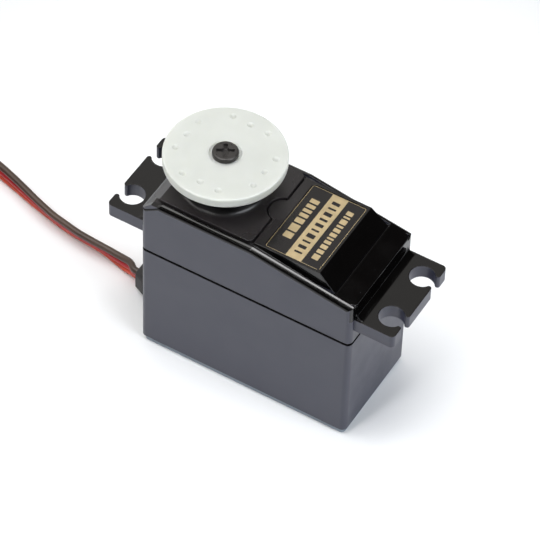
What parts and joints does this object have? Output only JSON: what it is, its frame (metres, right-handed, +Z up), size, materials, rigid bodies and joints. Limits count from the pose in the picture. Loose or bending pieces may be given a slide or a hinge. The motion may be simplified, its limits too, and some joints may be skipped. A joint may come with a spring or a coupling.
{
  "type": "servo motor",
  "caption": "Rectangular geared servo with a round output horn, slotted mounting ears, and a flat three-wire lead ending in a plug.",
  "frame": {"origin": "centre of the case's footprint, at the bottom cover's lower face", "axes": "+X along the case towards the label end, away from the output; +Y across the case; +Z up along the output shaft"},
  "size_m": [0.1235, 0.0406, 0.0437],
  "materials": {
    "case_plastic": "satin moulded black plastic",
    "screw_steel": "zinc plated",
    "label_film": "black film with a gold band",
    "boot_rubber": "matt black",
    "board_laminate": "green solder mask",
    "chip_plastic": "moulded epoxy",
    "capacitor_body": "dipped",
    "resonator_body": "dipped",
    "motor_steel": "drawn and plated",
    "motor_plastic": "natural nylon",
    "magnet": "sintered ferrite",
    "brush_carbon": "carbon",
    "contact_brass": "plated",
    "bush_bronze": "sintered bronze",
    "wire_insulation": "brown, red and orange PVC side by side",
    "polished_steel": "ground and polished",
    "pot_plastic": "moulded",
    "winding_copper": "enamelled copper",
    "gear_brass": "cut brass",
    "gear_steel": "cut steel",
    "horn_nylon": "translucent white nylon",
    "screw_black": "blackened steel",
    "tie_plastic": "black",
    "plug_plastic": "black"
  },
  "bodies": {
    "case": {"top_case": "case_plastic", "lower_case": "case_plastic", "bottom_cover": "case_plastic", "case_screws": "screw_steel", "label": "label_film", "cable_boot": "boot_rubber", "circuit_board": "board_laminate", "control_chip": "chip_plastic", "driver_transistors": "chip_plastic", "board_capacitors": "capacitor_body", "chip_resistors": "chip_plastic", "resonator": "resonator_body", "motor_can": "motor_steel", "motor_end_cap": "motor_plastic", "motor_magnets": "magnet", "motor_brushes": "brush_carbon", "motor_terminals": "contact_brass", "motor_front_bush": "bush_bronze", "motor_rear_bush": "bush_bronze", "motor_screws": "screw_steel", "motor_leads": "wire_insulation", "feedback_leads": "wire_insulation", "supply_leads": "wire_insulation", "idler_pin": "polished_steel", "output_bush": "bush_bronze", "feedback_pot_body": "pot_plastic", "pot_track": "brush_carbon", "pot_terminals": "contact_brass", "bearing_outer_race": "polished_steel", "bearing_balls": "polished_steel", "ball_cage": "bush_bronze", "lead_run": "wire_insulation", "lead_coil": "wire_insulation", "lead_tail": "wire_insulation", "lead_tie": "tie_plastic", "plug_housing": "plug_plastic", "plug_contacts": "contact_brass"},
    "motor_rotor": {"motor_shaft": "polished_steel", "armature_core": "motor_steel", "armature_windings": "winding_copper", "commutator": "contact_brass", "motor_pinion": "gear_brass"},
    "first_gear_body": {"first_gear": "gear_brass"},
    "second_gear_body": {"second_gear": "gear_steel"},
    "third_gear_body": {"third_gear": "gear_steel"},
    "output": {"output_gear": "gear_brass", "bearing_inner_race": "polished_steel", "horn_disc": "horn_nylon", "horn_screw": "screw_black", "pot_rotor": "pot_plastic", "pot_wiper": "contact_brass"}
  },
  "joints": [
    {"name": "motor_spin", "type": "hinge", "parent": "case", "child": "motor_rotor", "pos_m": [0.0102, 0, 0.024], "axis": [0, 0, 1], "range_deg": [-12480, 12480]},
    {"name": "first_gear_spin", "type": "hinge", "parent": "case", "child": "first_gear_body", "pos_m": [0.0004, 0, 0.0257], "axis": [0, 0, 1], "range_deg": [-2714.45, 2714.45]},
    {"name": "second_gear_spin", "type": "hinge", "parent": "case", "child": "second_gear_body", "pos_m": [-0.01, 0, 0.0275], "axis": [0, 0, 1], "range_deg": [-814.37, 814.37]},
    {"name": "third_gear_spin", "type": "hinge", "parent": "case", "child": "third_gear_body", "pos_m": [0.0004, 0, 0.0296], "axis": [0, 0, 1], "range_deg": [-300.06, 300.06]},
    {"name": "output_spin", "type": "hinge", "parent": "case", "child": "output", "pos_m": [-0.01, 0, 0.042], "axis": [0, 0, 1], "range_deg": [-90.05, 90.05]}
  ],
  "couplings": [
    {"joint": "first_gear_spin", "follows": "motor_spin", "ratio": -0.21739},
    {"joint": "second_gear_spin", "follows": "motor_spin", "ratio": 0.065217},
    {"joint": "third_gear_spin", "follows": "motor_spin", "ratio": -0.024027},
    {"joint": "output_spin", "follows": "motor_spin", "ratio": 0.0072082}
  ]
}
